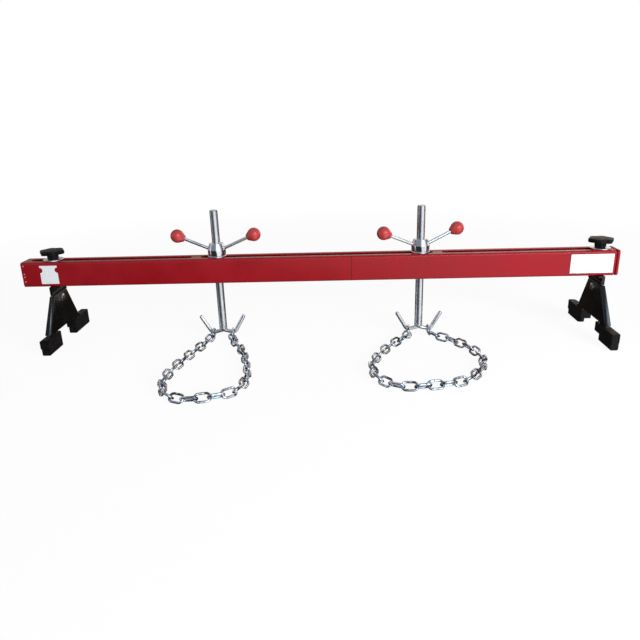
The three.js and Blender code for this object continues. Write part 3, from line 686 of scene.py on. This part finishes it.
def addWasher(name, node, centre, washer):
    low, high = boxOf(node)
    bore, outer = washer["bore"], (high[0] - low[0]) / 2
    ring = rounded([(bore, low[2]), (outer, low[2]), (outer, high[2]), (bore, high[2])], washer["edges"])
    addPiece(name, [lathe(ring, centre, washer["steps"], "joined")], "plateZinc", node)


def buildClamp(side, thread, ribs):
    washer = {"bore": 6.6, "edges": (0.3, 0.6, 0.9, 0.3), "steps": 64}
    stud = {"radius": 6, "depth": 0.8, "pitch": 1.75, "core": 5.3, "end": 4.6, "chamfer": 0.8, "steps": 32,
            "turnSteps": 20}
    knob = {
        "hubRadius": 13.4, "hubHeight": 12, "hubEdge": 0.8, "fillet": 3, "headRadius": 31, "rimIn": 0.3,
        "rimUp": 0.4, "rimEdges": (2.6, 3), "dome": 1.6, "crown": 20, "easeSteps": 6, "steps": 144,
        "lobes": 6, "lobeDepth": 4, "lobeIn": 4, "lobePower": 1.5, "ribCount": 10, "ribRing": 11.6,
        "ribRadius": 2.4, "ribHeight": 10, "ribMiddle": 6.5,
    }
    centre = (axisOf(f"{side}_clamp_stud")[0], beamY)
    addWasher(f"{side}ClampWasher", f"{side}_clamp_washer", centre, washer)

    node = f"{side}_clamp_stud"
    low, high = boxOf(node)
    bottom, top, chamfer = low[2], high[2], stud["chamfer"]
    profile = [(0, bottom), (stud["end"], bottom), (stud["core"], bottom + chamfer)]
    profile += [(stud["core"], top - chamfer), (stud["end"], top), (0, top)]
    core = lathe(eased(profile), centre, stud["steps"])
    addPiece(f"{side}ClampStud", [core], "rodZinc", node)
    length = top - bottom - 2 * chamfer
    addThread(f"{side}StudThread", node, centre, stud, bottom + chamfer, length, thread)

    node = f"{side}_clamp_knob"
    low, high = boxOf(node)
    bottom, top = low[2], high[2]
    under = bottom + knob["hubHeight"]
    head, hub, rim = knob["headRadius"], knob["hubRadius"], top - knob["dome"]
    edge, (lowEdge, highEdge) = knob["hubEdge"], knob["rimEdges"]
    profile = eased([
        (0, bottom), (hub - edge, bottom, edge), (hub, under, knob["fillet"]),
        (head - knob["rimIn"], under + knob["rimUp"], lowEdge), (head, rim, highEdge),
        (hub, top, knob["crown"]), (0, top)], knob["easeSteps"])

    def lobed(radius, z, angle):
        weight = min(max((radius - hub) / (head - knob["lobeIn"] - hub), 0), 1) ** knob["lobePower"]
        return radius - knob["lobeDepth"] * weight * (0.5 - 0.5 * cos(knob["lobes"] * angle))
    shape = lathe(profile, centre, knob["steps"], reach=lobed)
    addPiece(f"{side}ClampKnob", [shape], "blackPlastic", node, sharp=50)
    place = (centre[0] * mm, centre[1] * mm, (bottom + knob["ribMiddle"]) * mm)
    mesh = shaped(f"{side}KnobRibs", ribs, {
        "Ring radius": knob["ribRing"] * mm, "Rib radius": knob["ribRadius"] * mm,
        "Height": knob["ribHeight"] * mm, "Count": knob["ribCount"], "Centre": place,
        "Finish": finishes["blackPlastic"]})
    addObject(f"{side}KnobRibs", mesh, "blackPlastic", [node])
    nodes[f"{side}_knob_insert"].material_slots[0].material = finishes["brass"]
    print(side, "clamp built")


# Handle and ball on one side of the hub, turned about its axis
def buildArm(side, arm, way, centre, hubRadius, rootZ):
    handle = {"radius": 4, "inHub": 7, "turn": 0 if side == "left" else 14, "endStep": 3, "endEase": 0.6}
    ball = {
        "radius": 17, "reach": 97, "rise": 32, "neckRadius": 8, "neckReach": 19.5, "boreReach": 6.3,
        "bore": 4.4, "boreEdge": 0.4, "neckEdge": (0.9, 0.2, 0.4), "handleGap": 0.3, "rings": 24,
    }
    run = ball["reach"] - hubRadius
    slope = atan2(ball["rise"], run)
    along = Vector((way * cos(slope), 0, sin(slope)))
    turn = Matrix.Rotation(radians(handle["turn"]), 4, "Z")
    spin = Matrix.Translation((*centre, 0)) @ turn
    start = Vector((way * (hubRadius - handle["inHub"]), 0, rootZ - handle["inHub"] * tan(slope)))
    middle = Vector((way * ball["reach"], 0, rootZ + run * tan(slope)))
    end = middle - along * (ball["boreReach"] + ball["handleGap"])
    step = along * handle["endStep"]
    bar = roundEnded([start, start + step, end - step, end], handle["radius"], handle["endEase"])
    name, node = f"{side}Screw{arm.title()}", f"{side}_screw_{arm}"
    addPiece(f"{name}Handle", [moved(bar, spin)], "rodZinc", f"{node}_handle")

    radius, neckRadius = ball["radius"], ball["neckRadius"]
    neck, inside = -ball["neckReach"], -ball["boreReach"]
    neckIn, neckOut, neckUp = ball["neckEdge"]
    first = atan2(neckRadius, -neck) + acos(radius / hypot(neckRadius, neck))
    profile = [(0, inside), (ball["bore"], inside), (ball["bore"], neck + ball["boreEdge"])]
    profile += [(ball["bore"] + ball["boreEdge"], neck), (neckRadius - neckIn, neck)]
    profile.append((neckRadius - neckOut, neck + neckUp))
    for ring in range(ball["rings"] + 1):
        angle = first + (pi - first) * ring / ball["rings"]
        profile.append((radius * sin(angle), -radius * cos(angle)))
    at = spin @ Matrix.Translation(middle) @ along.to_track_quat("Z", "Y").to_matrix().to_4x4()
    addPiece(f"{name}Ball", [moved(lathe(profile), at)], "coralPlastic", f"{node}_ball", sharp=50)


def buildScrew(side, thread):
    washer = {"bore": 10.6, "edges": (0.4, 0.8, 1.0, 0.4), "steps": 72}
    rod = {
        "radius": 10, "depth": 0.5, "pitch": 2.5, "turnSteps": 28, "threadUp": 1.5, "threadShort": 4,
        "collar": 0.3, "collarFrom": 2.6, "collarStep": 2.2, "chamferDown": 0.9, "chamferIn": 0.8,
    }
    hub = {
        "radius": 22.5, "topRadius": 17.5, "bore": 10.4, "coneHeight": 15.5, "handlesIn": 12, "steps": 72,
        "edges": (0.5, 0.9, 2, 1.4, 0.8), "easeSteps": 5}
    hook = {
        "radius": 4.9, "endEase": 4.4, "tip": (57.9, 61), "bend": (29.82, 12.36, 10), "apex": (0, 20.35, 8)}
    weld = {
        "profile": [(0, -7), (6, -6.5, 2), (10.1, -2, 2), (10.4, 1.6, 1.2), (8, 3, 1), (0, 3)],
        "ripples": ((0.012, 9, 0), (0.01, 14, 1)), "steps": 40,
    }
    centre = axisOf(f"{side}_screw_rod")
    addWasher(f"{side}ThrustWasher", f"{side}_thrust_washer", centre, washer)

    node = f"{side}_screw_rod"
    low, high = boxOf(node)
    bottom, top = low[2], high[2]
    core = rod["radius"] - rod["depth"]
    wide = core + rod["collar"]
    profile = [(0, bottom), (core, bottom), (core, top - rod["collarFrom"])]
    profile += [(wide, top - rod["collarStep"]), (wide, top - rod["chamferDown"])]
    profile += [(core - rod["chamferIn"], top), (0, top)]
    addPiece(f"{side}ScrewRod", [lathe(profile, centre)], "rodZinc", node)
    start, length = bottom + rod["threadUp"], top - bottom - rod["threadShort"]
    addThread(f"{side}RodThread", node, centre, rod, start, length, thread)

    def rippled(radius, z, angle):
        waves = [size * sin(count * angle + shift) for size, count, shift in weld["ripples"]]
        return radius * (1 + sum(waves))
    mirrored = [(-hook["tip"][0], hook["tip"][1]), (-hook["bend"][0], *hook["bend"][1:])]
    path = eased(mirrored + [hook["apex"], hook["bend"], hook["tip"]], 10)
    bar = roundEnded([(centre[0] + x, centre[1], z) for x, z in path], hook["radius"], hook["endEase"])
    profile = eased([(radius, bottom + z, *ease) for radius, z, *ease in weld["profile"]])
    bead = lathe(profile, centre, weld["steps"], reach=rippled)
    addPiece(f"{side}DoubleHook", [bar, bead], "rodZinc", f"{side}_double_hook", sharp=50)

    low, high = boxOf(f"{side}_hub_nut")
    bottom, top = low[2], high[2]
    bore, wide, narrow = hub["bore"], hub["radius"], hub["topRadius"]
    corners = [(bore, bottom), (wide, bottom), (wide, top - hub["coneHeight"]), (narrow, top), (bore, top)]
    ring = rounded(corners, hub["edges"], hub["easeSteps"])
    addPiece(f"{side}HubNut", [lathe(ring, centre, hub["steps"], "joined")], "hubZinc", f"{side}_hub_nut")
    for arm, way in (("left", -1), ("right", 1)):
        buildArm(side, arm, way, centre, wide, top - hub["handlesIn"])
    print(side, "lifting screw built")


# The routes are shares of the loop's reach, which is searched until the links just fit
chain = {
    "inner": 28, "width": 24, "wire": 5.5, "weld": 0.04, "links": 32, "perRun": 4, "bite": 0.6, "play": 0.6,
    "tilt": radians(45), "endTilts": (1, 0.5, 0.15), "hookOut": 25, "hookHeight": 14, "seat": 5.3,
    "ringCount": 52, "wireSides": 12, "searches": 30,
    "left": [
        (-0.08, -0.13), (-0.145, -0.35), (-0.2, -0.57), (-0.215, -0.73), (-0.18, -0.89), (-0.075, -0.98),
        (0.075, -0.965), (0.2, -0.91), (0.25, -0.81), (0.255, -0.7), (0.23, -0.54), (0.165, -0.3),
        (0.08, -0.12)],
    "right": [
        (-0.085, -0.1), (-0.2, -0.25), (-0.31, -0.45), (-0.36, -0.63), (-0.31, -0.82), (-0.19, -0.9),
        (-0.01, -0.885), (0.145, -0.845), (0.27, -0.71), (0.33, -0.54), (0.295, -0.35), (0.2, -0.2),
        (0.085, -0.09)],
}


# Points along the loop on the floor, from one horn's seat to the other's
def loopLine(shares, reach, perSpan=40):
    out, seat = chain["hookOut"], chain["seat"]
    spots = [(-out, seat)] + [(x * reach, y * reach) for x, y in shares] + [(out, seat)]
    knots = [Vector(spot) for spot in spots]
    knots = [knots[0] * 2 - knots[1]] + knots + [knots[-1] * 2 - knots[-2]]
    line = []
    for a, b, c, d in zip(knots, knots[1:], knots[2:], knots[3:]):
        t0, t1, t2 = sqrt((b - a).length), sqrt((c - b).length), sqrt((d - c).length)
        leave = ((b - a) / t0 - (c - a) / (t0 + t1) + (c - b) / t1) * t1
        enter = ((c - b) / t1 - (d - b) / (t1 + t2) + (d - c) / t2) * t1
        square, cube = c * 3 - b * 3 - leave * 2 - enter, b * 2 - c * 2 + leave + enter
        for step in range(perSpan):
            t = step / perSpan
            line.append(b + leave * t + square * t ** 2 + cube * t ** 3)
    return line + [knots[-2]]


# Distance from a link's middle to where it bears on the next: fused inside a run, loose between runs
def bearing(link, ahead):
    runEnds = (link + ahead) % chain["perRun"] == 0
    return (chain["inner"] + (-chain["play"] if runEnds else chain["bite"])) / 2


# Both bearing points of every link along the line, or None where it is too short
def walked(line):
    here, following, links = line[0], 1, []
    for link in range(chain["links"]):
        start, distance = here, bearing(link, 0) + bearing(link, 1)
        while following < len(line) and (line[following] - here).length < distance:
            following += 1
        if following == len(line):
            return None
        before, after = (line[following - 1] - here).length, (line[following] - here).length
        here = line[following - 1].lerp(line[following], (distance - before) / (after - before))
        links.append((start, here))
    return links


# Links tilt one way and the other in turn, more or less so near the hook
def linkTurn(link):
    last = chain["links"] - 1
    nearEnd = 0 if link < chain["links"] / 2 else last
    sameAsEnd = 1 if (link - nearEnd) % 2 == 0 else -1
    fromEnd = min(link, last - link)
    share = chain["endTilts"][fromEnd] if fromEnd < len(chain["endTilts"]) else 0
    return (1 if link % 2 == 0 else -1) * chain["tilt"] * (1 + sameAsEnd * share)


def bearingHeight(index):
    if index in (0, chain["links"]):
        return chain["hookHeight"]
    bend = (chain["width"] - chain["wire"]) / 2
    return max(bend * abs(sin(linkTurn(link))) + chain["wire"] / 2 for link in (index - 1, index))


def buildChain(side, shaper):
    short, long = chain["inner"], chain["inner"] * chain["links"]
    for _ in range(chain["searches"]):
        middle = (short + long) / 2
        short, long = (short, middle) if walked(loopLine(chain[side], middle)) else (middle, long)
    centre = Vector((*axisOf(f"{side}_screw_rod"), 0))
    points, turns = [], []
    for link, (start, end) in enumerate(walked(loopLine(chain[side], long))):
        start, end = Vector((*start, bearingHeight(link))), Vector((*end, bearingHeight(link + 1)))
        forward = (end - start).normalized()
        level = Vector((-forward.y, forward.x, 0)).normalized()
        across = level * cos(linkTurn(link)) + forward.cross(level) * sin(linkTurn(link))
        axes = Matrix((forward, across, forward.cross(across))).transposed()
        points.append((centre + start + forward * bearing(link, 0)) * mm)
        turns.append(axes.to_euler())
    mesh = bpy.data.meshes.new(f"{side}ChainPoints")
    mesh.from_pydata(points, [], [])
    attribute = mesh.attributes.new("linkTurn", "FLOAT_VECTOR", "POINT")
    for index, turn in enumerate(turns):
        attribute.data[index].vector = turn
    result = shaped(f"{side}Chain", shaper, {
        "Inner length": chain["inner"] * mm, "Width": chain["width"] * mm, "Wire": chain["wire"] * mm,
        "Weld": chain["weld"], "Ring count": chain["ringCount"], "Wire sides": chain["wireSides"],
        "Finish": finishes["chainZinc"]}, mesh)
    runs = [node for node in nodes if node.startswith(f"{side}_chain_run_")]
    piece = addObject(f"{side}Chain", result, "chainZinc", runs)
    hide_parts(*runs)
    print(side, "chain built, reach", round(long, 2), "mm")


thread, links, ribs = threadShaper(), chainShaper(), ribShaper()
buildBeam()
for side in ("left", "right"):
    buildFoot(side)
    buildClamp(side, thread, ribs)
    buildScrew(side, thread)
    buildChain(side, links)


# Edges: the values between which a thing comes in and, with four, goes out again
studio = {
    "skyAhead": 0.82, "skyAround": 0.12, "skyAheadEdges": (-0.4, 0.8), "skyAbove": 0.25,
    "skyAboveEdges": (0.2, 0.9), "white": (1, 1, 1, 1), "floorBounce": (0.2, 0.2, 0.2, 1),
    "floorWhite": (0.93, 0.93, 0.93, 1), "floorShade": (0.12, 0.12, 0.12, 1), "floorFar": (1.2, 3.2),
    "floorReach": 12, "floorDrop": 0.0004,
    "panel": (1.15, 1.15, 1.15, 1), "panelStart": (-0.14, 0.06), "panelEnd": (1.15, 1.4),
    "panelTop": (0.3, 0.6), "panelLean": 0.25, "panelLeanEdges": (-0.35, -0.05),
    "window": (5.5, 7.7, 10, 1), "windowEdges": (0.25, 0.4, 0.7, 0.9),
    "windowHeights": (0.28, 0.38, 0.5, 0.6),
    "slit": (0.8, 0.86, 0.95, 1), "slitEdges": (-1.62, -1.5, -1.34, -1.22), "slitTop": (0.4, 0.6),
    "dim": (0.2, 0.26, 0.33, 1), "backLeft": (0.5, 0.42, 0.36, 1), "backRight": (1.3, 1.12, 1.0, 1),
    "backSides": (-0.5, 0.5), "backEdges": (0.05, 0.4), "ceiling": (0.45, 0.45, 0.47, 1),
    "ceilingEdges": (0.3, 0.75), "carpet": (0.035, 0.028, 0.022, 1), "carpetEdges": (-0.12, 0.0),
    "keyPlace": (1.7, -2.1, 0.75), "keyAim": (0.1, 0.12, 0.15), "keySize": 1.3, "keyPower": 76,
    "keyColour": (0.95, 0.98, 1.0),
}


# 1 for rays from the eye, straight or through something, which meet plain white
def plainRays(maker):
    seen, through = (maker.node("ShaderNodeLightPath", output=index) for index in (0, 6))
    return maker.maths("MAXIMUM", seen, through)


# Reflections see a room by direction, the world's light is a plain sky, and the camera sees white
def buildWorld():
    world = bpy.data.worlds.new("studio")
    bpy.context.scene.world = world
    world.use_nodes = True
    sky = Maker(world.node_tree)
    x, y, z = sky.split(sky.node("ShaderNodeTexCoord", output=0))
    ahead = 0 - y
    heading = sky.maths("ARCTAN2", x, ahead)  # 0 toward -Y, growing to the right

    def below(edges):
        return 1 - sky.spread(z, *studio[edges])

    def within(value, low0, low1, high0, high1):
        return sky.spread(value, low0, low1) * (1 - sky.spread(value, high0, high1))
    behind = sky.mix(sky.spread(x, *studio["backSides"]), studio["backLeft"], studio["backRight"])
    room = sky.mix(sky.spread(y, *studio["backEdges"]), studio["dim"], behind)
    room = sky.mix(sky.spread(z, *studio["ceilingEdges"]), room, studio["ceiling"])
    room = sky.mix(sky.spread(z, *studio["carpetEdges"]), studio["carpet"], room)
    room = sky.mix(within(heading, *studio["slitEdges"]) * below("slitTop"), room, studio["slit"])
    lean = sky.spread(z, *studio["panelLeanEdges"], studio["panelLean"], 0)
    panel = sky.spread(heading - lean, *studio["panelStart"]) * below("panelTop")
    panel = panel * (1 - sky.spread(heading, *studio["panelEnd"]))
    room = sky.mix(panel, room, studio["panel"])
    window = within(heading, *studio["windowEdges"]) * within(z, *studio["windowHeights"])
    room = sky.mix(window, room, studio["window"])
    soft = sky.spread(ahead, *studio["skyAheadEdges"], studio["skyAround"], studio["skyAhead"])
    soft = soft * sky.spread(z, *studio["skyAboveEdges"], 1, studio["skyAbove"])
    glossy = sky.node("ShaderNodeLightPath", output=3)
    colour = sky.mix(glossy, sky.node("ShaderNodeCombineXYZ", {}, {0: soft, 1: soft, 2: soft}), room)
    colour = sky.mix(plainRays(sky), colour, studio["white"])
    world.node_tree.links.new(colour.socket, world.node_tree.nodes["Background"].inputs["Color"])


def buildFloor():
    mesh = bpy.data.meshes.new("floor")
    reach = studio["floorReach"]
    corners = [(-reach, -reach, 0), (reach, -reach, 0), (reach, reach, 0), (-reach, reach, 0)]
    mesh.from_pydata(corners, [], [(0, 1, 2, 3)])
    floor = linked("floor", mesh)
    floor.location.z = -studio["floorDrop"]
    floor.visible_glossy = False
    paper = bpy.data.materials.new("paper")
    paper.use_nodes = True
    sheet = Maker(paper.node_tree)
    place = sheet.node("ShaderNodeTexCoord", output=3)
    far = sheet.spread(sheet.away(place, (0, 0, 0)), *studio["floorFar"])
    white = sheet.mix(far, studio["floorWhite"], studio["white"])
    glow = sheet.mix(plainRays(sheet), studio["floorBounce"], white)
    light = sheet.node("ShaderNodeEmission", {}, {"Color": glow})
    shade = sheet.node("ShaderNodeBsdfDiffuse", {}, {"Color": studio["floorShade"]})
    both = sheet.node("ShaderNodeAddShader", {}, {0: light, 1: shade})
    paper.node_tree.links.new(both.socket, paper.node_tree.nodes["Material Output"].inputs["Surface"])
    mesh.materials.append(paper)


def buildLamp():
    lamp = bpy.data.lights.new("key", "AREA")
    lamp.shape, lamp.size, lamp.energy = "SQUARE", studio["keySize"], studio["keyPower"]
    lamp.color = studio["keyColour"]
    key = linked("key", lamp)
    key.location = studio["keyPlace"]
    key.visible_glossy = False
    key.rotation_euler = (Vector(studio["keyAim"]) - key.location).to_track_quat("-Z", "Y").to_euler()


def buildCamera():
    shot = {
        "place": (0.0543, -1.36725, 0.5678), "yaw": -0.0329, "pitch": 0.3381, "roll": -0.0291,
        "lens": 33.85, "sensor": 36}
    yaw, pitch, roll = shot["yaw"], shot["pitch"], shot["roll"]
    forward = Vector((sin(yaw) * cos(pitch), cos(yaw) * cos(pitch), -sin(pitch)))
    right = Vector((cos(yaw), -sin(yaw), 0))
    up = right.cross(forward)
    right, up = right * cos(roll) + up * sin(roll), up * cos(roll) - right * sin(roll)
    data = bpy.data.cameras.new("camera")
    data.lens, data.sensor_width = shot["lens"], shot["sensor"]
    camera = linked("camera", data)
    axes = Matrix((right, up, -forward)).transposed().to_4x4()
    camera.matrix_world = Matrix.Translation(shot["place"]) @ axes
    bpy.context.scene.camera = camera


buildWorld()
buildFloor()
buildLamp()
buildCamera()
bpy.context.scene.view_settings.view_transform = "Standard"
print("studio ready")
